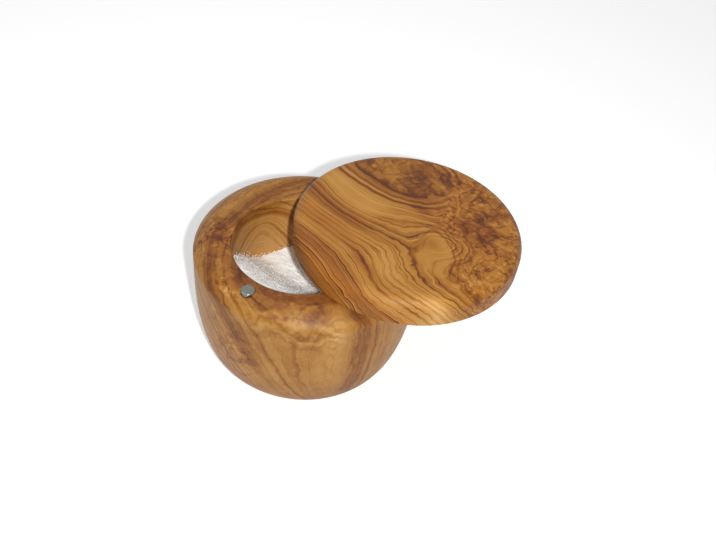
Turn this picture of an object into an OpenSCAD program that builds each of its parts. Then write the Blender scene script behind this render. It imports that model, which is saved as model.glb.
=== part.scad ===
// Turned wooden salt box: a round bowl with an off-centre cavity, closed by a disc lid
// that swivels sideways on a hidden steel pin and is caught by a pair of disc magnets.
// Millimetres, +Z up. The origin is the centre of the foot that it stands on.
// The pivot is towards +Y and the magnets are towards -Y. The lid is drawn swung open.

/* [Bowl] */
// Largest diameter of the bowl, at its belly
bowl_d = 100; // [94:1:120]
// Height of the bowl, from its foot to the flat rim
bowl_h = 66; // [58:1:80]
// Diameter of the flat foot
foot_d = 56; // [44:1:70]
// Fullness of the side below the belly: 2 is an ellipse and more is fuller
side_fullness = 2.9; // [2:0.1:4]
// Height of the soft shoulder, from the belly up to the rim
shoulder_h = 7.2; // [5:0.1:10]
// Width of the soft shoulder, from the belly in to the flat rim
shoulder_w = 9.5; // [6:0.1:10]
// Fullness of the shoulder: 1 is a straight bevel and 2 is an ellipse
shoulder_fullness = 1.4; // [1.3:0.1:2]

/* [Cavity] */
// Diameter of the cavity that holds the salt
cavity_d = 60; // [52:1:66]
// Width of the rim where it is narrowest, at the magnet, from the cavity to the belly
narrow_rim = 14; // [11:0.5:18]
// Thickness of the wood under the cavity
floor_t = 14; // [8:1:20]
// Radius between the cavity's wall and its floor
floor_round = 9; // [4:0.5:14]
// Radius that breaks the edge of the cavity's mouth
mouth_round = 1; // [0.4:0.1:2]

/* [Lid] */
// Thickness of the lid
lid_t = 13; // [10:0.5:16]
// How far the closed lid's edge stays inside the bowl's belly
lid_inset = 1; // [0:0.5:3]
// Radius of the lid's upper edge
lid_top_round = 5; // [3:0.5:6]
// Radius of the lid's lower edge
lid_under_round = 2; // [1:0.5:3]
// Running gap between the rim and the lid
lid_gap = 0.3; // [0.2:0.05:0.5]
// How far the lid is swung open, in degrees from closed
lid_open = 66.6; // [0:0.1:180]

/* [Pivot pin] */
// Diameter of the steel pin
pin_d = 4; // [3:0.5:6]
// Distance from the belly in to the pin's axis
pin_inset = 12.5; // [10:0.5:15]
// Depth that the pin is pressed into the bowl
pin_seat = 16; // [12:1:24]
// Wood that is left in the lid above the pin's hole
pin_cover = 5; // [3:0.5:6]
// Bevel on both ends of the pin
pin_bevel = 0.5; // [0.2:0.1:0.8]
// Radial running clearance of the pin in the lid
pin_clearance = 0.05; // [0.02:0.01:0.1]
// Gap between the pin's end and the end of its hole in the lid
pin_end_gap = 0.3; // [0.2:0.1:0.8]

/* [Magnets] */
// Diameter of both disc magnets
magnet_d = 6; // [5:0.5:8]
// Thickness of both disc magnets
magnet_t = 3; // [2:0.5:4]
// Distance from the belly in to the magnets' centre, with the lid closed
magnet_inset = 8; // [7:0.5:9]
// Bevel on the edges of the magnets
magnet_bevel = 0.25; // [0.1:0.05:0.4]

/* [Salt] */
// Depth of the salt's low side below the rim, towards the pivot
salt_low_drop = 31.5; // [20:0.5:40]
// Depth of the salt's high side below the rim, towards the magnet
salt_high_drop = 13; // [8:0.5:18]
// Length of the slope between the low side and the high side, seen from above
salt_slope = 30; // [20:1:40]
// How far the middle of the slope lies from the cavity's axis, towards the magnet
salt_shift = 5; // [0:0.5:8]
// Gap between the salt and the wood round it
salt_clearance = 0.05; // [0.02:0.01:0.2]

/* [Hidden] */
$fn = 96;
side_steps = 32;
shoulder_steps = 16;
salt_steps = 12;
// Tools run this far past the face that they cut
past = 1;

light_wood = [0.74, 0.49, 0.23];
dark_wood = [0.66, 0.40, 0.18];
steel = [0.72, 0.72, 0.74];
nickel = [0.62, 0.66, 0.66];
white = [0.93, 0.93, 0.92];

bowl_r = bowl_d / 2;
foot_r = foot_d / 2;
belly_z = bowl_h - shoulder_h;
rim_r = bowl_r - shoulder_w;
cavity_r = cavity_d / 2;
cavity_y = -(bowl_r - narrow_rim - cavity_r);
lid_r = bowl_r - lid_inset;
lid_z = bowl_h + lid_gap;
pin_r = pin_d / 2;
pin_y = bowl_r - pin_inset;
pin_top = lid_z + lid_t - pin_cover - pin_end_gap;
magnet_r = magnet_d / 2;
magnet_y = -(bowl_r - magnet_inset);
salt_low_z = bowl_h - salt_low_drop;
salt_high_z = bowl_h - salt_high_drop;
salt_mid_y = cavity_y - salt_shift;

// A quarter of a superellipse, from its top at [0, h] round to its side at [w, 0]
function quarter(w, h, fullness, steps) =
    [for (i = [0:steps])
        let (a = 90 * i / steps)
        [w * pow(sin(a), 2 / fullness), h * pow(cos(a), 2 / fullness)]];

// A step that leaves 0 and reaches 1 without a corner
function smooth(t) = t * t * (3 - 2 * t);

// Height of the salt's surface, t being 0 at the foot of its slope and 1 at the top
function salt_z(t) = salt_low_z + (salt_high_z - salt_low_z) * smooth(t);

// Half of the bowl's outside as the lathe leaves it: foot, full side, belly, shoulder, rim
module bowl_outline() {
    side = quarter(bowl_r - foot_r, belly_z, side_fullness, side_steps);
    shoulder = quarter(shoulder_w, shoulder_h, shoulder_fullness, shoulder_steps);
    polygon(concat(
        [[0, 0]],
        [for (p = side) [foot_r + p[0], belly_z - p[1]]],
        [for (i = [shoulder_steps - 1:-1:0]) [rim_r + shoulder[i][0], belly_z + shoulder[i][1]]],
        [[0, bowl_h]]
    ));
}

// Half of the cavity, r smaller than its wall by the given clearance
module cavity_outline(clearance) {
    r = cavity_r - clearance;
    z = floor_t + clearance;
    translate([0, z]) square([r - floor_round, floor_round]);
    translate([0, z + floor_round]) square([r, bowl_h - z - floor_round]);
    intersection() {
        translate([r - floor_round, z + floor_round]) circle(floor_round);
        translate([0, z]) square([r, floor_round]);
    }
}

// The ring that is taken off round the mouth, which leaves its edge rounded
module mouth_outline() {
    difference() {
        translate([cavity_r - past, bowl_h - mouth_round]) square([mouth_round + past, mouth_round + past]);
        translate([cavity_r + mouth_round, bowl_h - mouth_round]) circle(mouth_round);
    }
}

module cavity_cut() {
    translate([0, cavity_y, 0]) {
        rotate_extrude() cavity_outline(0);
        rotate_extrude() mouth_outline();
        translate([0, 0, bowl_h - past]) cylinder(r = cavity_r, h = 2 * past);
    }
}

module bowl() {
    color(light_wood)
    difference() {
        rotate_extrude() bowl_outline();
        cavity_cut();
        translate([0, pin_y, bowl_h - pin_seat]) cylinder(r = pin_r, h = pin_seat + past);
        translate([0, magnet_y, bowl_h - magnet_t]) cylinder(r = magnet_r, h = magnet_t + past);
    }
}

// A disc whose two edges are rounded off by different radii
module lid_outline() {
    under = lid_under_round;
    top = lid_top_round;
    square([lid_r - under, lid_t]);
    translate([0, under]) square([lid_r, lid_t - under - top]);
    square([lid_r - top, lid_t]);
    translate([lid_r - under, under]) circle(under);
    intersection() {
        translate([lid_r - top, lid_t - top]) circle(top);
        translate([0, lid_t - top]) square([lid_r, top]);
    }
}

// Turns what is drawn for the closed lid about the pin, to where the lid is swung open
module swung_open() {
    translate([0, pin_y, 0]) rotate([0, 0, lid_open]) translate([0, -pin_y, 0]) children();
}

module lid() {
    hole = lid_t - pin_cover;
    color(dark_wood)
    swung_open() translate([0, 0, lid_z])
    difference() {
        rotate_extrude() lid_outline();
        translate([0, pin_y, -past]) cylinder(r = pin_r + pin_clearance, h = hole + past);
        translate([0, magnet_y, -past]) cylinder(r = magnet_r, h = magnet_t + past);
    }
}

// A round bar that stands on the origin, with both of its ends bevelled
module bevelled_disc(r, h, bevel) {
    rotate_extrude()
    polygon([[0, 0], [r - bevel, 0], [r, bevel], [r, h - bevel], [r - bevel, h], [0, h]]);
}

module pivot_pin() {
    bottom = bowl_h - pin_seat;
    color(steel)
    translate([0, pin_y, bottom]) bevelled_disc(pin_r, pin_top - bottom, pin_bevel);
}

module bowl_magnet() {
    color(nickel)
    translate([0, magnet_y, bowl_h - magnet_t]) bevelled_disc(magnet_r, magnet_t, magnet_bevel);
}

module lid_magnet() {
    color(nickel)
    swung_open() translate([0, magnet_y, lid_z]) bevelled_disc(magnet_r, magnet_t, magnet_bevel);
}

// The salt as it lies: low towards the pivot, then a slope up to its high side
module salt() {
    reach = 2 * cavity_r;
    color(white)
    intersection() {
        translate([0, cavity_y, 0]) rotate_extrude() cavity_outline(salt_clearance);
        translate([-cavity_r, 0, 0]) rotate([90, 0, 90]) linear_extrude(2 * cavity_r)
        polygon(concat(
            [[reach, 0], [reach, salt_low_z]],
            [for (i = [0:salt_steps])
                let (t = i / salt_steps)
                [salt_mid_y + salt_slope * (0.5 - t), salt_z(t)]],
            [[-reach, salt_high_z], [-reach, 0]]
        ));
    }
}

bowl();
lid();
pivot_pin();
bowl_magnet();
lid_magnet();
salt();
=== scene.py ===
"""Looks of a turned wooden salt box with a swivel lid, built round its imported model."""
import math
import random
from collections import namedtuple
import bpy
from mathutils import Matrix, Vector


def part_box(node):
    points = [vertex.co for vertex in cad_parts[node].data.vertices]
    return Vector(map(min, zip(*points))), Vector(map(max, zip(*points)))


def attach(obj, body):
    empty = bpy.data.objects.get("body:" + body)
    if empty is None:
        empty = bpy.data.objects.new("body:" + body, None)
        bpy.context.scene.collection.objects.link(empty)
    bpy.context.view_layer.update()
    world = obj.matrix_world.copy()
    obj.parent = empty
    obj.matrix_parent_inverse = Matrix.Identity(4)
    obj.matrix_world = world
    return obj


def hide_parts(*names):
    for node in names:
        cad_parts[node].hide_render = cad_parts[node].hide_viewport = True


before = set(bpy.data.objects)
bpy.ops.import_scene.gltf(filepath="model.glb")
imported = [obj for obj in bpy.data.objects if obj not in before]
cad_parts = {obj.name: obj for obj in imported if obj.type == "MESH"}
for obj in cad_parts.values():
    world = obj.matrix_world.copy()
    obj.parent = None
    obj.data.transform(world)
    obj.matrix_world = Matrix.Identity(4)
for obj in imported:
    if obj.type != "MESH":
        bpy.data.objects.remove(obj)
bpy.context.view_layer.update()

from types import SimpleNamespace

import bmesh
import bpy
from mathutils import Euler, Matrix, Vector, noise

MM = 0.001
Disc = namedtuple("Disc", "r centre low high")


def node_disc(node):
    """Radius, centre, lowest and highest level of a CAD node that is round and upright."""
    low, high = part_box(node)
    centre = ((low[0] + high[0]) / 2, (low[1] + high[1]) / 2)
    return Disc((high[0] - low[0]) / 2, centre, low[2], high[2])


# Sizes, in metres. What the frame doesn't say is repeated from the construction.
BOWL_R = node_disc("bowl").r
RIM_Z = node_disc("bowl").high
LID_CENTRE = node_disc("lid").centre
LID_LOW = node_disc("lid").low
LID_TOP = node_disc("lid").high
LID_R = 49 * MM
FOOT_R = 28 * MM
SIDE_FULLNESS = 2.9
SHOULDER_H = 7.2 * MM
SHOULDER_W = 9.5 * MM
SHOULDER_FULLNESS = 1.4
CAVITY_R = 30 * MM
CAVITY_Y = -6 * MM
FLOOR_T = 14 * MM
FLOOR_ROUND = 9 * MM
MOUTH_ROUND = 1 * MM
LID_TOP_ROUND = 5 * MM
LID_UNDER_ROUND = 2 * MM
PIN_HOLE_R = 2.05 * MM
PIN_COVER = 5 * MM
DISC_EDGE_ROUND = 0.5 * MM

# How far a cutting tool stands out of what it cuts, and the narrow ring at the edge of a flat
TOOL_CLEAR = 2 * MM
FLAT_EDGE = 0.3 * MM

# How many sides each turning has
TURNING_STEPS = 256
CAVITY_STEPS = 224
DISC_STEPS = 64
HOLE_STEPS = 48


# Shapes turned on the lathe
def quarter(w, h, fullness, steps):
    """A quarter of a superellipse, from its top (0, h) round to its side (w, 0)."""
    turns = [math.pi / 2 * i / steps for i in range(steps + 1)]
    power = 2 / fullness
    return [(w * math.sin(a) ** power, h * max(math.cos(a), 0) ** power) for a in turns]


def arc(x, z, r, start, end, steps):
    """Points round a centre, between two angles in degrees."""
    turns = [math.radians(start + (end - start) * i / steps) for i in range(steps + 1)]
    return [(x + r * math.cos(a), z + r * math.sin(a)) for a in turns]


def new_object(name, bm):
    mesh = bpy.data.meshes.new(name)
    bm.to_mesh(mesh)
    bm.free()
    piece = bpy.data.objects.new(name, mesh)
    bpy.context.collection.objects.link(piece)
    return piece


def ring_points(centre, r, steps):
    turns = [2 * math.pi * i / steps for i in range(steps)]
    return [(centre[0] + r * math.cos(a), centre[1] + r * math.sin(a)) for a in turns]


def skin_rings(bm, rings, steps):
    """Joins each ring of points to the next; a ring of one point closes the skin there."""
    for low, high in zip(rings, rings[1:]):
        for i in range(steps):
            j = (i + 1) % steps
            corners = [low[i % len(low)], low[j % len(low)]]
            corners += [high[j % len(high)], high[i % len(high)]]
            bm.faces.new(list(dict.fromkeys(corners)))
    bmesh.ops.recalc_face_normals(bm, faces=bm.faces)


def smooth_shade(piece, sharp_from=35):
    """Smooth shading, with an edge where two faces meet at more than an angle in degrees."""
    piece.data.shade_smooth()
    piece.data.set_sharp_from_angle(angle=math.radians(sharp_from))


def lathe(name, profile, centre=(0, 0), steps=TURNING_STEPS):
    """Turns a profile of (radius, height) about an upright axis; it starts and ends there."""
    on_axis = 1e-7
    bm = bmesh.new()
    rings = []
    for r, z in profile:
        spots = [centre] if r < on_axis else ring_points(centre, r, steps)
        rings.append([bm.verts.new((x, y, z)) for x, y in spots])
    skin_rings(bm, rings, steps)
    piece = new_object(name, bm)
    smooth_shade(piece)
    return piece


def bore(name, centre, r, low, high):
    """A plain round tool for a hole from low to high."""
    return lathe(name, [(0, low), (r, low), (r, high), (0, high)], centre, HOLE_STEPS)


def cut(piece, tools):
    """Takes each tool out of the piece and deletes the tool."""
    for tool in tools:
        cutter = piece.modifiers.new("cut", "BOOLEAN")
        cutter.operation = "DIFFERENCE"
        cutter.solver = "EXACT"
        cutter.object = tool
    smooth = piece.modifiers.new("normals", "WEIGHTED_NORMAL")
    smooth.keep_sharp = True
    graph = bpy.context.evaluated_depsgraph_get()
    mesh = bpy.data.meshes.new_from_object(piece.evaluated_get(graph))
    piece.modifiers.clear()
    piece.data = mesh
    mesh.name = piece.name
    for tool in tools:
        bpy.data.objects.remove(tool)


def cavity_tool():
    """What the cavity takes out of the bowl: its rounded floor, its wall and its soft mouth."""
    above = RIM_Z + TOOL_CLEAR
    corner_r = CAVITY_R - FLOOR_ROUND
    mouth_r = CAVITY_R + MOUTH_ROUND
    corner = arc(corner_r, FLOOR_T + FLOOR_ROUND, FLOOR_ROUND, -90, 0, steps=16)
    mouth = arc(mouth_r, RIM_Z - MOUTH_ROUND, MOUTH_ROUND, 180, 90, steps=10)
    profile = [(0, FLOOR_T)] + corner + mouth + [(mouth_r, above), (0, above)]
    return lathe("cavity_tool", profile, (0, CAVITY_Y), CAVITY_STEPS)


def make_bowl():
    """Foot, full side, belly, shoulder and flat rim, with the off-centre cavity and two holes."""
    belly_z = RIM_Z - SHOULDER_H
    rim_r = BOWL_R - SHOULDER_W
    lower = quarter(BOWL_R - FOOT_R, belly_z, SIDE_FULLNESS, steps=96)
    upper = quarter(SHOULDER_W, SHOULDER_H, SHOULDER_FULLNESS, steps=48)
    foot = [(0, 0), (FOOT_R - FLAT_EDGE, 0)]
    side = [(FOOT_R + x, belly_z - z) for x, z in lower]
    shoulder = [(rim_r + x, belly_z + z) for x, z in reversed(upper)]
    rim = [(rim_r - FLAT_EDGE, RIM_Z), (0, RIM_Z)]
    bowl = lathe("bowl_turning", foot + side + shoulder[1:] + rim)
    tools = [cavity_tool()]
    for node in ("pivot_pin", "bowl_magnet"):
        seat = node_disc(node)
        tools.append(bore(node + "_tool", seat.centre, seat.r, seat.low, RIM_Z + TOOL_CLEAR))
    cut(bowl, tools)
    return bowl


def make_lid():
    """A disc with a rounded top edge, a hole for the pin and a pocket for its magnet."""
    under_r = LID_R - LID_UNDER_ROUND
    upper_r = LID_R - LID_TOP_ROUND
    under = arc(under_r, LID_LOW + LID_UNDER_ROUND, LID_UNDER_ROUND, -90, 0, steps=12)
    upper = arc(upper_r, LID_TOP - LID_TOP_ROUND, LID_TOP_ROUND, 0, 90, steps=24)
    top = [(upper_r - FLAT_EDGE, LID_TOP), (0, LID_TOP)]
    lid = lathe("lid_turning", [(0, LID_LOW)] + under + upper + top, LID_CENTRE)
    below = LID_LOW - TOOL_CLEAR
    pin = node_disc("pivot_pin")
    magnet = node_disc("lid_magnet")
    hole = bore("hole_tool", pin.centre, PIN_HOLE_R, below, LID_TOP - PIN_COVER)
    pocket = bore("pocket_tool", magnet.centre, magnet.r, below, magnet.high)
    cut(lid, [hole, pocket])
    return lid


def make_disc(name, node):
    """The pin or a magnet in a CAD node's place, with its edges rounded over."""
    disc = node_disc(node)
    inner = disc.r - DISC_EDGE_ROUND
    lower = arc(inner, disc.low + DISC_EDGE_ROUND, DISC_EDGE_ROUND, -90, 0, steps=6)
    upper = arc(inner, disc.high - DISC_EDGE_ROUND, DISC_EDGE_ROUND, 0, 90, steps=6)
    profile = [(0, disc.low)] + lower + upper + [(0, disc.high)]
    return lathe(name, profile, disc.centre, DISC_STEPS)


# Salt: the gap between it and the wood, its levels, and where its slope starts and how long it is
SALT_GAP = 0.05 * MM
SALT_R = CAVITY_R - SALT_GAP
SALT_LOW = RIM_Z - 31.5 * MM
SALT_HIGH = RIM_Z - 13 * MM
SALT_TOP_SPARE = 0.1 * MM
SALT_FOOT_Y = 4 * MM
SALT_SLOPE = 30 * MM
SALT_STEPS = 240
SALT_RINGS = 80
SALT_SHARP_FROM = 60

# In millimetres: banks of salt as (x, y, two radii, height), lumps as (size, height), and the
# level that these are counted from
SALT_BANKS = [(-27, -10, 9, 11, 2.2), (-18, 16, 10, 9, 2.6)]
SALT_LUMPS = [(6, 0.9), (2.4, 0.3), (1.1, 0.2)]
SALT_BASE = -0.4

# Loose crystals: how many lie on the heap and cling to the wall, and their size in millimetres
GRAINS = 2600
GRAINS_ON_WALL = 260
GRAIN_SIZE = (0.35, 0.65)
GRAIN_STRETCH = (0.6, 1.0)
GRAIN_SEED = 5
# As shares of a crystal's size: its cube's edge, and its centre's height on the heap and gap
# to the wall
GRAIN_EDGE = 0.8
GRAIN_LIFT = 0.05
GRAIN_INSET = 0.45
# How fast the crystals on the wall thin out upwards, per millimetre
GRAIN_THINNING = 1.1


def salt_level(x, y):
    """Height of the salt: deep at the back, heaped against the front, lumpy all over."""
    t = min(max((SALT_FOOT_Y - y) / SALT_SLOPE, 0), 1)
    level = SALT_LOW + (SALT_HIGH - SALT_LOW) * t * t * (3 - 2 * t)
    rise = SALT_BASE
    for bank_x, bank_y, bank_w, bank_l, height in SALT_BANKS:
        away = ((x / MM - bank_x) / bank_w) ** 2 + ((y / MM - bank_y) / bank_l) ** 2
        rise += height * math.exp(-away)
    spot = Vector((x, y, 0)) / MM
    for size, height in SALT_LUMPS:
        rise += height * noise.noise(spot / size)
    return min(level + rise * MM, SALT_HIGH - SALT_TOP_SPARE)


def make_salt():
    """One closed heap: its lumpy top in rings, then down the wall and round to the floor."""
    centre = (0, CAVITY_Y)
    bm = bmesh.new()
    rings = [[bm.verts.new((*centre, salt_level(*centre)))]]
    for i in range(1, SALT_RINGS + 1):
        spots = ring_points(centre, SALT_R * i / SALT_RINGS, SALT_STEPS)
        rings.append([bm.verts.new((x, y, salt_level(x, y))) for x, y in spots])
    inner = CAVITY_R - FLOOR_ROUND
    corner_r = SALT_R - inner
    corner_z = FLOOR_T + SALT_GAP + FLOOR_ROUND
    for r, z in reversed(arc(inner, corner_z, corner_r, -90, 0, steps=8)):
        spots = ring_points(centre, r, SALT_STEPS)
        rings.append([bm.verts.new((x, y, z)) for x, y in spots])
    rings.append([bm.verts.new((*centre, corner_z - corner_r))])
    skin_rings(bm, rings, SALT_STEPS)
    salt = new_object("salt_heap", bm)
    smooth_shade(salt, SALT_SHARP_FROM)
    return salt


def make_grains():
    """Loose crystals: small cubes that lie on the heap, and some that cling to the wall."""
    rng = random.Random(GRAIN_SEED)
    bm = bmesh.new()
    for i in range(GRAINS + GRAINS_ON_WALL):
        size = rng.uniform(*GRAIN_SIZE) * MM
        turn = rng.uniform(0, 2 * math.pi)
        if i < GRAINS:
            r = (SALT_R - size) * math.sqrt(rng.random())
            lift = GRAIN_LIFT * size
        else:
            r = SALT_R - GRAIN_INSET * size
            lift = rng.expovariate(GRAIN_THINNING) * MM
        x = r * math.cos(turn)
        y = CAVITY_Y + r * math.sin(turn)
        place_at = Matrix.Translation((x, y, min(salt_level(x, y) + lift, SALT_HIGH)))
        spin = Euler([rng.uniform(0, math.pi) for _ in range(3)]).to_matrix().to_4x4()
        stretch = Matrix.Diagonal([rng.uniform(*GRAIN_STRETCH) for _ in range(3)]).to_4x4()
        bmesh.ops.create_cube(bm, size=size * GRAIN_EDGE, matrix=place_at @ spin @ stretch)
    return new_object("salt_grains", bm)


# Patterns worked out by the shader
class Field:
    """A number that the shader works out at each point, so that a pattern is plain sums."""

    def __init__(self, socket):
        self.socket = socket

    def __add__(self, other):
        return calculate("ADD", self, other)

    def __sub__(self, other):
        return calculate("SUBTRACT", self, other)

    def __rsub__(self, other):
        return calculate("SUBTRACT", other, self)

    def __mul__(self, other):
        return calculate("MULTIPLY", self, other)

    def __truediv__(self, other):
        return calculate("DIVIDE", self, other)

    __radd__ = __add__
    __rmul__ = __mul__


def feed(value, slot):
    """Links a field to a node's input, or sets a plain number there."""
    if isinstance(value, Field):
        value.socket.id_data.links.new(value.socket, slot)
    else:
        slot.default_value = value


def tree_of(*values):
    """The node tree of the first field among some values."""
    return next(value.socket.id_data for value in values if isinstance(value, Field))


def calculate(operation, *values):
    node = tree_of(*values).nodes.new("ShaderNodeMath")
    node.operation = operation
    for value, slot in zip(values, node.inputs):
        feed(value, slot)
    return Field(node.outputs[0])


def clamp(value):
    """The value, held between 0 and 1."""
    node = tree_of(value).nodes.new("ShaderNodeClamp")
    feed(value, node.inputs[0])
    return Field(node.outputs[0])


def step(value, low, high):
    """0 below low and 1 above high, or the reverse where low is the higher, softly."""
    node = tree_of(value).nodes.new("ShaderNodeMapRange")
    node.interpolation_type = "SMOOTHSTEP"
    feed(value, node.inputs["Value"])
    node.inputs["From Min"].default_value = min(low, high)
    node.inputs["From Max"].default_value = max(low, high)
    node.inputs["To Min"].default_value = float(low > high)
    node.inputs["To Max"].default_value = float(low < high)
    return Field(node.outputs["Result"])


def bell(value, centre, width):
    """1 at the centre, fading to 0 within about two widths."""
    u = (value - centre) / width
    return calculate("EXPONENT", u * u * -1)


def patch(x, y, cx, cy, rx, ry):
    """1 at a spot, fading to 0 round it."""
    u = (x - cx) / rx
    v = (y - cy) / ry
    return calculate("EXPONENT", (u * u + v * v) * -1)


def reach(x, y):
    """How far a point is from (0, 0)."""
    return calculate("SQRT", x * x + y * y)


def blend(share, first, second):
    return first + (second - first) * share


def add_up(fields):
    first, *others = fields
    return sum(others, first)


def weigh(start, *shares):
    """A plain number, plus each field times its share."""
    return add_up(field * share for field, share in shares) + start


def spots_of(x, y, marks):
    """Adds up soft spots, each with its centre, its two radii and its strength."""
    return add_up(patch(x, y, *spot) * strength for *spot, strength in marks)


def bands_of(value, marks):
    """Adds up soft bands, each with its place along a value, its width and its strength."""
    return add_up(bell(value, *band) * strength for *band, strength in marks)


def vector(x, y, z):
    node = tree_of(x, y, z).nodes.new("ShaderNodeCombineXYZ")
    for value, slot in zip((x, y, z), node.inputs):
        feed(value, slot)
    return Field(node.outputs[0])


# The noise keeps to the middle of 0 to 1, and this spreads it to about -1 to 1
NOISE_MIDDLE = 0.5
NOISE_SPREAD = 3


def waves(x, y, z, size, seed, detail=2.0, roughness=0.5):
    """Three noises between about -1 and 1 with lumps of the given size in millimetres."""
    spot = vector(x + seed, y, z)
    node = tree_of(spot).nodes.new("ShaderNodeTexNoise")
    feed(spot, node.inputs["Vector"])
    node.inputs["Scale"].default_value = 1 / size
    node.inputs["Detail"].default_value = detail
    node.inputs["Roughness"].default_value = roughness
    split = tree_of(spot).nodes.new("ShaderNodeSeparateColor")
    feed(Field(node.outputs["Color"]), split.inputs[0])
    return [(Field(out) - NOISE_MIDDLE) * NOISE_SPREAD for out in split.outputs]


def lines(rings, size, seed, detail=1.0):
    """A noise between about -1 and 1 along one number, so it runs in lines where that is level."""
    node = tree_of(rings).nodes.new("ShaderNodeTexNoise")
    node.noise_dimensions = "1D"
    feed(rings + seed, node.inputs["W"])
    node.inputs["Scale"].default_value = 1 / size
    node.inputs["Detail"].default_value = detail
    return (Field(node.outputs["Fac"]) - NOISE_MIDDLE) * NOISE_SPREAD


def seen(colour):
    """A colour as it is seen on a screen, from 0 to 255, as a shader's linear colour."""
    return [((c / 255 + 0.055) / 1.055) ** 2.4 for c in colour] + [1]


def ramp(value, stops):
    """A colour that runs from stop to stop as the value goes from 0 to 1."""
    node = tree_of(value).nodes.new("ShaderNodeValToRGB")
    feed(value, node.inputs[0])
    elements = node.color_ramp.elements
    for _ in stops[2:]:
        elements.new(1)
    for element, (position, colour) in zip(elements, stops):
        element.position = position
        element.color = seen(colour)
    return Field(node.outputs["Color"])


def tint(share, base, colour):
    """Multiplies a colour by another one, as far as the share says."""
    node = tree_of(base).nodes.new("ShaderNodeMix")
    node.data_type = "RGBA"
    node.blend_type = "MULTIPLY"
    feed(share, node.inputs[0])
    feed(base, node.inputs[6])
    node.inputs[7].default_value = (*colour, 1)
    return Field(node.outputs[2])


def new_material(name):
    """A material, its shader, and the place on the object in millimetres."""
    material = bpy.data.materials.new(name)
    material.use_nodes = True
    nodes = material.node_tree.nodes
    where = nodes.new("ShaderNodeTexCoord")
    split = nodes.new("ShaderNodeSeparateXYZ")
    feed(Field(where.outputs["Object"]), split.inputs[0])
    return material, nodes["Principled BSDF"], [Field(out) / MM for out in split.outputs]


def relief(shader, height, depth):
    """Bump whose height field of 1 stands depth metres high."""
    node = tree_of(height).nodes.new("ShaderNodeBump")
    node.inputs["Strength"].default_value = 1.0
    node.inputs["Distance"].default_value = depth
    feed(height, node.inputs["Height"])
    feed(Field(node.outputs["Normal"]), shader.inputs["Normal"])


# Wood: its colours from the darkest growth lines to the palest sapwood, and casts over them
WOOD_COLOURS = [
    (0.00, (86, 44, 14)), (0.16, (106, 57, 18)), (0.32, (131, 76, 24)), (0.48, (158, 101, 35)),
    (0.64, (181, 126, 54)), (0.80, (202, 148, 79)), (1.00, (226, 184, 124)),
]
REDDISH = (1.02, 0.84, 0.74)
OLIVE = (0.94, 0.97, 0.84)
# A painted sheen: a bluish-white veil of reflection laid into the bowl's colour
SHEEN_VEIL_CAST = (0.98, 1.08, 1.44)

# How far each kind of growth line, and the fibres, move the wood along those colours
BROAD_LINES = 0.12
MID_LINES = 0.04
MID_DARK = 0.15
THIN_DARK = 0.17
HAIR_DARK = 0.09
FIBRES = 0.035
# How uneven the dark lines are, and what fine stripes take from wide lines and add to thin ones
LINE_FADING = 0.8
FINE_LESS_WIDE = 0.6
FINE_MORE_THIN = 0.9

# Oiled wood: a low gloss, rougher where it is dark, over a very fine relief of lines and fibres
WOOD_SPECULAR = 0.25
WOOD_ROUGHNESS = 0.52
LIGHT_LESS_ROUGH = 0.10
FIBRE_ROUGHNESS = 0.05
LINE_SINK = -1.6
FIBRE_STAND = 0.7
GRAIN_DEPTH = 0.03 * MM


def paint_wood(shader, spot, rings, fibre, tone, contrast, red, cast, cast_colour, fine=0.0):
    """Colour, gloss and relief that follow one figure of growth rings, finer as fine says."""
    fade = waves(*spot, size=9, seed=17, detail=1.0)[0]
    broad = lines(rings, size=8.0, seed=11)
    mid = lines(rings, size=2.7, seed=57, detail=1.5)
    thin = lines(rings, size=1.05, seed=131)
    hair = lines(rings, size=0.5, seed=211)
    strands = waves(*fibre, size=0.7, seed=3)
    wide = 1 - fine * FINE_LESS_WIDE
    narrow = step(thin, 0.10, 0.45) * THIN_DARK + hair * HAIR_DARK
    dark = step(mid, 0.10, 0.50) * wide * MID_DARK + narrow * (1 + fine * FINE_MORE_THIN)
    figure = (broad * BROAD_LINES - mid * MID_LINES) * wide - dark * (fade * LINE_FADING + 1)
    light = tone + figure * contrast + strands[0] * FIBRES
    colour = ramp(clamp(light), WOOD_COLOURS)
    colour = tint(red, colour, REDDISH)
    colour = tint(cast, colour, cast_colour)
    feed(colour, shader.inputs["Base Color"])
    shader.inputs["Specular IOR Level"].default_value = WOOD_SPECULAR
    roughness = WOOD_ROUGHNESS - light * LIGHT_LESS_ROUGH + strands[1] * FIBRE_ROUGHNESS
    feed(roughness, shader.inputs["Roughness"])
    relief(shader, dark * LINE_SINK + strands[0] * FIBRE_STAND, GRAIN_DEPTH)


def knotted(x, y, z, seed):
    """Figure of a burl: dark blotches and knots, with thin light and dark curls between them."""
    large = waves(x, y, z, size=9, seed=seed)
    small = waves(x, y, z, size=4, seed=seed + 20, detail=3.0)
    return add_up([
        bell(large[1], 0.1, 0.08) * -0.26, bell(small[1], -0.3, 0.12) * 0.22,
        step(large[2], 0.1, 0.5) * -0.24, step(small[0], 0.2, 0.5) * -0.22,
        large[0] * 0.14, small[2] * 0.12,
    ])


# The lid's figure. Spots are (x, y, two radii, strength) in millimetres, and bands of rings are
# (ring, width, strength), with the rings counted as lid_rings counts them.
LID_KNOTS = [
    (54, 34, 6, 5, 1.5), (64, 35, 5, 6, 1.5), (35, 33, 6, 3, 1.4), (21, 55, 5, 5, 0.8),
    (33, 62, 8, 5, 0.8), (29, 41, 6, 4, 0.7), (14, 36.5, 12, 2.5, 0.7), (9, 47, 9, 5, -0.4),
]
# Pale wood with a painted highlight: the first two spots lighten the rounded front edge where the
# lamp's highlight falls
LID_PALE_AND_HIGHLIGHT_SPOTS = [(70, -13, 9, 5, 0.22), (58, -24, 9, 5, 0.06), (77, 14, 5, 5, 0.08)]
ISLAND_DARK_SPOT = (49, 16, 5, 4)
ISLAND_OLIVE_SPOT = (51, 15, 5, 4)
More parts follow.
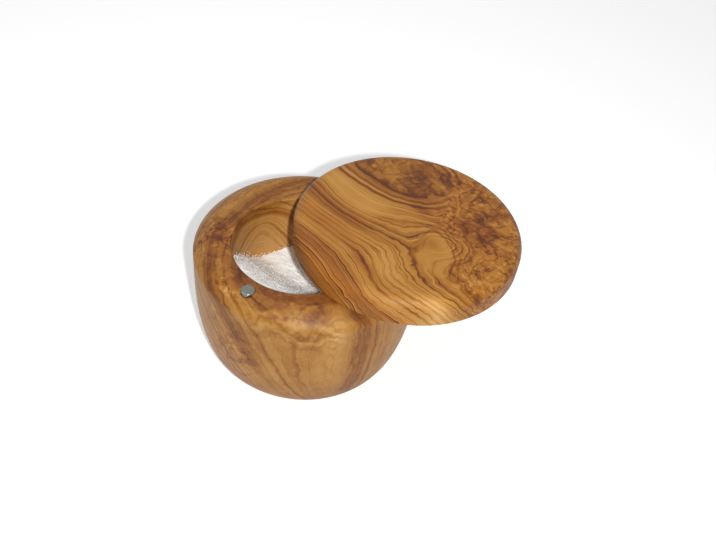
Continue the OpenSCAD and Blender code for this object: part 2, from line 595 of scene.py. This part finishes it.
# Rings that bow before the heart, the ring at its edge, and the thin ones across the middle
SMILE_RINGS = [(29.6, 0.6, 0.42), (31.2, 0.6, -0.20), (32.8, 0.5, 0.26)]
HEART_RINGS = [(35.4, 1.3, 0.12)]
BORDER_RINGS = [
    (13.4, 0.40, 1), (11.8, 0.3, 0.8), (15.4, 0.3, 0.6), (9.0, 0.40, 1), (7.0, 0.3, 0.7),
    (5.0, 0.35, 0.8),
]
# Lines round the island: radius, width, strength, and from where to where they set in
ISLAND_LINES = [(8.5, 0.40, 1, 43, 52), (10.4, 0.35, 0.7, 50, 58), (12.3, 0.35, 0.5, 52, 60)]
LID_TONE = 0.62
LID_CONTRAST = 1.15
LEAST_CONTRAST = 0.1
# How much the rings lean as they go down through the lid
LID_LEAN = 0.70


def lid_rings(x, y, z):
    """A number that is level along the lines of the lid's figure, as they run on its top."""
    low = step(y, 20, -24)
    # From left to right: a fan at the edge, a gentle slope, and a steep drop past the middle
    fan = (step(x, -20, 12) - 1) * step(y, -8, 22) * 9
    slope = calculate("MINIMUM", x, 46) * low * 0.32 - bell(x, 33, 9) * 1.2
    drop = step(x - y * 1.1, 31, 77) * (15 - low * 9)
    # The lines climb in front of the burl, and go round above the island
    rise = step(x, 16, 42) * step(y, 11, 30) * 8
    over = patch(x, y, 53, 19, 10, 9) * 12
    flow = y + drop + fan + (1 - low) * 5 + slope - rise - over - 4
    # At the back they bow round the heart
    bowed = 50 - reach((x - 17) * (0.455 + 0.286 * step(x, 10, 24)), y - 50)
    rings = blend(step(y, 24, 31) * step(x, 50, 40), flow, bowed)
    return calculate("SMOOTH_MIN", rings, 36.5, 5) + (z - LID_TOP / MM) * LID_LEAN


def lid_burls(x, y, ripple):
    """Where the lid is knotted: a burl along its right side, and the heart at its back."""
    back = step(x + (y - 30) * 0.35, 38, 50) * step(y, 22, 31)
    right = step(x + ripple[2], 61, 68) * step(y, -5, 4)
    heart = step(reach((x - 14) / 1.5, y - 52), 18, 13)
    return clamp(back + right), heart


def lid_island(x, y, soft, ripple):
    """A pale oval that the lines go round, and the dark lines on its far side."""
    along = x - 53 + (y - 13) * 0.45 + ripple[1] * 1.2 + soft[1] * 2
    oval = reach(along, (y - 12) / 1.45 + ripple[2] * 0.9)
    far = x * 0.7 + y
    outline = add_up(
        bell(oval, r, width) * step(far, start, full) * strength
        for r, width, strength, start, full in ISLAND_LINES
    )
    return step(oval, 10, 6), outline


def lid_figure(x, y, z, soft, ripple):
    """The lid's rings, and how far each point belongs to each part of its figure."""
    part = SimpleNamespace()
    part.burl, part.heart = lid_burls(x, y, ripple)
    part.island, part.outline = lid_island(x, y, soft, ripple)
    wobble = 0.4 + step(x, 8, 45) * 0.5
    curl = (part.burl + part.heart * 0.6) * (soft[1] * 5 + ripple[1] * 2.0)
    rings = lid_rings(x, y, z) + soft[0] * 0.4 + ripple[0] * wobble + curl
    part.rings = rings
    part.left = step(x, 38, 12)
    part.honey = step(rings, 14, 17) * step(rings, 28.5, 26) * part.left
    part.stripes = step(rings, -7, -14)
    part.plain = step(rings, -9, -5) * step(rings, 5, 1) * step(x, 26, 16)
    part.golden = step(x - y * 0.5, 30, 42) * step(rings, 14, 8) * step(y, -16, -8)
    part.brown = bell(rings, 8.5, 3.2) * step(x, 28, 14)
    part.diagonal = bell(y + 12 + (x - 34) * 0.55, 0, 2.6) * bell(x, 34, 9)
    part.knots = spots_of(x, y, LID_KNOTS)
    return part


def lid_tone(x, y, z, soft, part):
    """How light the lid is at each point, before its growth lines."""
    smile = bands_of(part.rings, SMILE_RINGS)
    smile = smile + bands_of(part.rings, HEART_RINGS) * (1 - part.heart)
    border = bands_of(part.rings, BORDER_RINGS) * (1 - part.island) * (1 - part.burl)
    burl_share = clamp(part.burl * (0.70 + part.knots * 0.6) + part.heart * 0.5)
    burl_figure = knotted(x, y, z, seed=61) * burl_share
    return weigh(
        LID_TONE,
        (part.honey, 0.12), (part.golden, 0.05), (part.island, 0.05), (soft[2], 0.05),
        # Painted highlight on the lid's rounded front edge, over paler wood
        (spots_of(x, y, LID_PALE_AND_HIGHLIGHT_SPOTS), 1), (part.brown, -0.12), (part.knots, -0.20),
        (smile * step(x, 46, 34), -1), (patch(x, y, *ISLAND_DARK_SPOT), -0.20),
        (part.outline, -0.26), (part.diagonal, -0.24), (border, -0.17), (part.plain, -0.05),
        (part.burl, -0.06), (part.heart, -0.07), (part.stripes, -0.10),
        ((1 - part.honey) * part.left, -0.02), (burl_figure, 1),
    )


def make_lid_wood():
    material, shader, (x, y, z) = new_material("olive_lid")
    soft = waves(x, y, z, size=17, seed=3, detail=1.0)
    ripple = waves(x, y, z, size=5, seed=41)
    part = lid_figure(x, y, z, soft, ripple)
    contrast = weigh(
        LID_CONTRAST,
        (part.stripes, 0.35), (part.honey, -0.8), (part.plain, -0.4), (part.golden, -0.25),
        (part.island, -0.6), (part.heart, -0.5), (part.burl, -0.4),
    )
    red = weigh(
        0.0,
        (part.brown, 0.6), (part.diagonal, 0.8), (part.burl, 0.25), (part.stripes, 0.5),
        (part.knots, 0.4), (part.plain, 0.5),
    )
    paint_wood(
        shader, (x, y, z), part.rings,
        fibre=(x * 0.15, part.rings * 1.3, z),
        tone=lid_tone(x, y, z, soft, part),
        contrast=calculate("MAXIMUM", contrast, LEAST_CONTRAST),
        red=red,
        cast=part.honey * 0.5 + part.island * 0.3 + patch(x, y, *ISLAND_OLIVE_SPOT),
        cast_colour=OLIVE,
        fine=part.stripes,
    )
    return material


# The bowl's figure. Spots and bands are written as the lid's are, and depth is below the rim.
RIM_KNOTS = [(-31, -26, 10, 9, 1), (-9, -43, 7, 5, 1)]
SIDE_KNOT = (2, 34, 7, 11)
MOUTH_SPOT = (-5, -39, 6, 4)
# Bands across y at the right, and across the depth where flames cross the front shoulder
RIGHT_BANDS = [(-21, 4.5, 0.17), (-19, 1.0, -0.08), (-24.6, 0.7, 0.14)]
FLAME_BANDS = [
    (5, 1.2, 0.13), (2.5, 0.8, -0.10), (8, 0.8, -0.12), (10.5, 0.9, 0.09), (13, 0.7, -0.10),
]
CORNER_PALE_SPOT = (36, -31, 5, 4)
CORNER_DARK_SPOT = (28, -37, 6, 2.5)
BOWL_TONE = 0.58
BOWL_CONTRAST = 0.75


def bowl_rings(x, y, depth):
    """Rings round a pith that leans, as the bowl's side shows them, and straight at its right."""
    pith = x - depth * 0.8 - 9
    round_rings = calculate("SQRT", pith * pith + (y + 4) * (y + 4) / 1.7 + 330)
    arch = bell(y, 3, 10) * step(x, -16, -24) * step(depth, 3, 14)
    return blend(step(x, 28, 42), round_rings + arch * 10, y * 0.9 + 56)


def bowl_figure(x, y, z, depth, soft, ripple, jag):
    """The bowl's rings, and how far each point belongs to each part of its figure."""
    part = SimpleNamespace()
    side_knot = patch(x, z, *SIDE_KNOT) * step(y, -30, -40)
    part.rough = spots_of(x, y, RIM_KNOTS) + side_knot * 0.6
    wobble = soft[0] * 1.2 + ripple[0] * 0.8
    curl = part.rough * (soft[1] * 3 + ripple[1] * 1.5)
    rings = bowl_rings(x, y, depth) + wobble + curl
    part.rings = rings
    part.side = step(depth, 6, 12)
    part.front = step(x, 0, 12) * step(x, 42, 37) * step(y, -10, -20)
    across = y + ripple[2] * 1.5 + jag[1] * 0.7
    part.dark = bell(rings, 46.6, 4.0) * step(x, 18, 4) * 0.17
    part.dark = part.dark + bands_of(across, RIGHT_BANDS) * step(x, 34, 42)
    short = bell(rings, 41.8, 0.35) * step(depth, 32, 22)
    part.thin = (bell(rings, 40.4, 0.45) + short * 0.6) * step(x, 0, 8)
    from_axis = reach(x, y - CAVITY_Y / MM)
    mouth = bell(from_axis, 32, 5) * step(y, -14, -26) + patch(x, y, *MOUTH_SPOT) * 0.5
    part.mouth = mouth * step(depth, 3, 1)
    part.wall = step(from_axis, 31, 29.5) * step(depth, 1, 5)
    part.rim = step(depth, 6, 3) * (1 - part.wall)
    return part


def bowl_flame(x, depth, soft, ripple, jag):
    """Wavy light and dark tongues that cross the front just under the rim."""
    waving = ripple[1] * 0.6 + soft[2] + jag[0] * 0.22
    return bands_of(depth + waving * 5 - (x - 20) * 0.12, FLAME_BANDS)


def bowl_tone(x, y, z, depth, soft, flame, part):
    """How light the bowl is at each point, before its growth lines."""
    corner_pale = patch(x, y, *CORNER_PALE_SPOT) * step(depth, 34, 9)
    corner_dark = patch(x, y, *CORNER_DARK_SPOT) * step(depth, 12, 6)
    burl_share = clamp(weigh(0.16, (part.rough, 0.9), (part.rim, 0.12), (part.wall, -0.1)))
    return weigh(
        BOWL_TONE,
        (part.wall, 0.17), (corner_pale, 0.16), (soft[1], 0.05), (flame * part.front, 1),
        (part.front * part.side * step(depth, 50, 30), 0.02), (part.dark, -1),
        (part.thin * part.side, -0.17), (part.mouth, -0.16), (corner_dark, -0.10),
        # Darker towards the foot: painted shade on the lower side, which faces down
        (step(depth, 36, 60), -0.10), (part.rim, -0.03), (bell(depth, 2, 2) * part.front, -0.10),
        (knotted(x, y, z, seed=87) * burl_share, 1),
    )


def make_bowl_wood():
    material, shader, (x, y, z) = new_material("olive_bowl")
    depth = RIM_Z / MM - z
    soft = waves(x, y, z, size=19, seed=5, detail=1.0)
    ripple = waves(x, y, z, size=6, seed=43)
    jag = waves(x, y, z, size=2.6, seed=47, detail=1.0)
    part = bowl_figure(x, y, z, depth, soft, ripple, jag)
    flame = bowl_flame(x, depth, soft, ripple, jag)
    contrast = weigh(
        BOWL_CONTRAST,
        (part.wall, 0.15), (part.front, -0.40), (step(x, 0, -14), -0.15), (step(x, 36, 42), -0.42),
    )
    paint_wood(
        shader, (x, y, z), part.rings,
        fibre=(x * 1.3, y * 1.3, z * 0.15),
        tone=bowl_tone(x, y, z, depth, soft, flame, part),
        contrast=contrast * (step(part.rings, 20, 30) * 0.8 + 0.2),
        red=part.dark + part.rough * 0.4 + part.mouth * 0.4 + part.wall * 0.3,
        # The cast is a painted sheen veil, a little stronger on the side below the shoulder
        cast=0.98 + part.side * 0.07,
        cast_colour=SHEEN_VEIL_CAST,
    )
    return material


# Metal and salt
# Darker and greener than bare nickel: a painted reflection of a dim room, since the sky that the
# metal mirrors is white
NICKEL_AND_ROOM_REFLECTION_COLOUR = (134, 136, 126)
NICKEL_ROUGHNESS = 0.16
STEEL_COLOUR = (188, 188, 186)
STEEL_ROUGHNESS = 0.30
CLOUD_DARKEST = 0.84
METAL_RELIEF = 0.01 * MM
# From grey-white to white; the grey is painted shade of small lumps in the salt
SALT_AND_SHADE_COLOURS = [(0, (218, 221, 213)), (0.45, (244, 244, 239)), (1, (252, 252, 249))]
SALT_ROUGHNESS = 0.50
SALT_SCATTER = 0.5
SALT_SCATTER_RADIUS = 1.3 * MM
SALT_RELIEF = 0.10 * MM


def make_metal(name, colour, roughness):
    """Bare or plated steel with a slightly clouded finish."""
    material, shader, (x, y, z) = new_material(name)
    cloud = waves(x, y, z, size=1.6, seed=9, detail=3.0)
    darkest = [c * CLOUD_DARKEST for c in colour]
    base = ramp(clamp(0.5 + cloud[0] * 0.35), [(0, darkest), (1, colour)])
    feed(base, shader.inputs["Base Color"])
    feed(roughness + cloud[1] * 0.06, shader.inputs["Roughness"])
    shader.inputs["Metallic"].default_value = 1.0
    relief(shader, cloud[2], METAL_RELIEF)
    return material


def make_salt_material():
    """White crystals that let some light through, with soft grey blotches: painted shade of small
    lumps.
    """
    material, shader, (x, y, z) = new_material("sea_salt")
    lumps = waves(x, y, z, size=1.4, seed=21, detail=4.0, roughness=0.65)
    crystal = waves(x, y, z, size=0.5, seed=77, detail=1.0)
    # Soft grey blotches of painted shade over the white crystal
    light = clamp(0.6 + lumps[0] * 0.25 + crystal[0] * 0.2)
    feed(ramp(light, SALT_AND_SHADE_COLOURS), shader.inputs["Base Color"])
    feed(SALT_ROUGHNESS + crystal[1] * 0.15, shader.inputs["Roughness"])
    shader.inputs["Subsurface Weight"].default_value = SALT_SCATTER
    shader.inputs["Subsurface Radius"].default_value = (1.0, 1.0, 1.0)
    shader.inputs["Subsurface Scale"].default_value = SALT_SCATTER_RADIUS
    relief(shader, crystal[2] * 0.8 + lumps[1], SALT_RELIEF)
    return material


def finish_piece(piece, body, node, material):
    """Gives a piece its material and the body that it rides, and hides the CAD node that it stands
    for.
    """
    piece.data.materials.clear()
    piece.data.materials.append(material)
    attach(piece, body)
    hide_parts(node)


NICKEL = make_metal("nickel", NICKEL_AND_ROOM_REFLECTION_COLOUR, NICKEL_ROUGHNESS)
STEEL = make_metal("steel", STEEL_COLOUR, STEEL_ROUGHNESS)
SALT = make_salt_material()

finish_piece(make_bowl(), "base", "bowl", make_bowl_wood())
finish_piece(make_lid(), "lid", "lid", make_lid_wood())
finish_piece(make_disc("rim_magnet", "bowl_magnet"), "base", "bowl_magnet", NICKEL)
finish_piece(make_disc("under_lid_magnet", "lid_magnet"), "lid", "lid_magnet", NICKEL)
finish_piece(make_disc("swivel_pin", "pivot_pin"), "base", "pivot_pin", STEEL)
finish_piece(make_salt(), "base", "salt", SALT)
finish_piece(make_grains(), "base", "salt", SALT)


# Camera, floor and light. Angles are in degrees, with azimuth 0 at the magnet's side.
CAMERA_AZIMUTH = 28.17
CAMERA_ELEVATION = 43.33
CAMERA_ROLL = 8.22
CAMERA_LENS = 40.28
CAMERA_SENSOR = 36
CAMERA_AIM = Vector((27.6, -4.15, 66.0)) * MM
CAMERA_DISTANCE = 333.3 * MM
CAMERA_NEAR = 0.01
CAMERA_FAR = 10
LIGHT_AIM = Vector((10, 5, 60)) * MM
WHITE = (1, 1, 1, 1)
WORLD_LEVEL = 0.23
FLOOR_COLOUR = (0.80, 0.80, 0.80, 1)
FLOOR_ROUGHNESS = 0.9
FLOOR_GLOW = 0.36
FLOOR_HALF_WIDTH = 6
FLOOR_DROP = 0.05 * MM


def towards(azimuth, elevation):
    """The direction from the object to something seen at that azimuth and elevation."""
    a = math.radians(azimuth)
    e = math.radians(elevation)
    return Vector((math.sin(a) * math.cos(e), -math.cos(a) * math.cos(e), math.sin(e)))


def place(thing, direction, aim, distance, roll=0.0):
    """Puts a camera or lamp at a distance from its aim, looking back at it."""
    bpy.context.collection.objects.link(thing)
    turn = (-direction).to_track_quat("-Z", "Y").to_matrix().to_4x4()
    turn = turn @ Matrix.Rotation(math.radians(roll), 4, "Z")
    thing.matrix_world = Matrix.Translation(aim + direction * distance) @ turn


def make_camera():
    data = bpy.data.cameras.new("camera")
    data.lens = CAMERA_LENS
    data.sensor_width = CAMERA_SENSOR
    data.clip_start = CAMERA_NEAR
    data.clip_end = CAMERA_FAR
    camera = bpy.data.objects.new("camera", data)
    direction = towards(CAMERA_AZIMUTH, CAMERA_ELEVATION)
    place(camera, direction, CAMERA_AIM, CAMERA_DISTANCE, CAMERA_ROLL)
    bpy.context.scene.camera = camera


def make_light(name, azimuth, elevation, distance, size, level):
    """A square lamp that doesn't weaken with distance; level is how bright white looks in it."""
    data = bpy.data.lights.new(name, "AREA")
    data.size = size
    data.energy = level * math.pi ** 2
    data.use_nodes = True
    even = data.node_tree.nodes.new("ShaderNodeLightFalloff")
    even.inputs["Strength"].default_value = 1.0
    feed(Field(even.outputs["Constant"]), data.node_tree.nodes["Emission"].inputs["Strength"])
    place(bpy.data.objects.new(name, data), towards(azimuth, elevation), LIGHT_AIM, distance)


def plain_sight(nodes):
    """1 where a ray comes from the camera, a reflection or a clear piece, and else 0."""
    path = nodes.new("ShaderNodeLightPath")
    sight = Field(path.outputs["Is Camera Ray"])
    for kind in ("Is Glossy Ray", "Is Transmission Ray"):
        sight = calculate("MAXIMUM", sight, Field(path.outputs[kind]))
    return sight


def make_floor():
    """Pale and matt. Seen directly it has a share of its own white, so it looks white."""
    bm = bmesh.new()
    bmesh.ops.create_grid(bm, x_segments=8, y_segments=8, size=FLOOR_HALF_WIDTH)
    floor = new_object("floor", bm)
    floor.location.z = -FLOOR_DROP
    material = bpy.data.materials.new("pale_floor")
    material.use_nodes = True
    nodes = material.node_tree.nodes
    matt = nodes["Principled BSDF"]
    matt.inputs["Base Color"].default_value = FLOOR_COLOUR
    matt.inputs["Roughness"].default_value = FLOOR_ROUGHNESS
    matt.inputs["Emission Color"].default_value = WHITE
    feed(plain_sight(nodes) * FLOOR_GLOW, matt.inputs["Emission Strength"])
    floor.data.materials.append(material)


def make_world():
    """An even white sky: a weak light on the object, but plain white where it is seen."""
    world = bpy.data.worlds.new("studio")
    bpy.context.scene.world = world
    world.use_nodes = True
    nodes = world.node_tree.nodes
    sky = nodes["Background"]
    sky.inputs["Color"].default_value = WHITE
    feed(blend(plain_sight(nodes), WORLD_LEVEL, 1.0), sky.inputs["Strength"])


make_camera()
make_light("key", azimuth=35.6, elevation=41.4, distance=0.351, size=0.010, level=0.88)
make_light("fill", azimuth=275, elevation=66, distance=0.9, size=0.5, level=0.20)
make_world()
make_floor()
bpy.context.scene.view_settings.view_transform = "Standard"
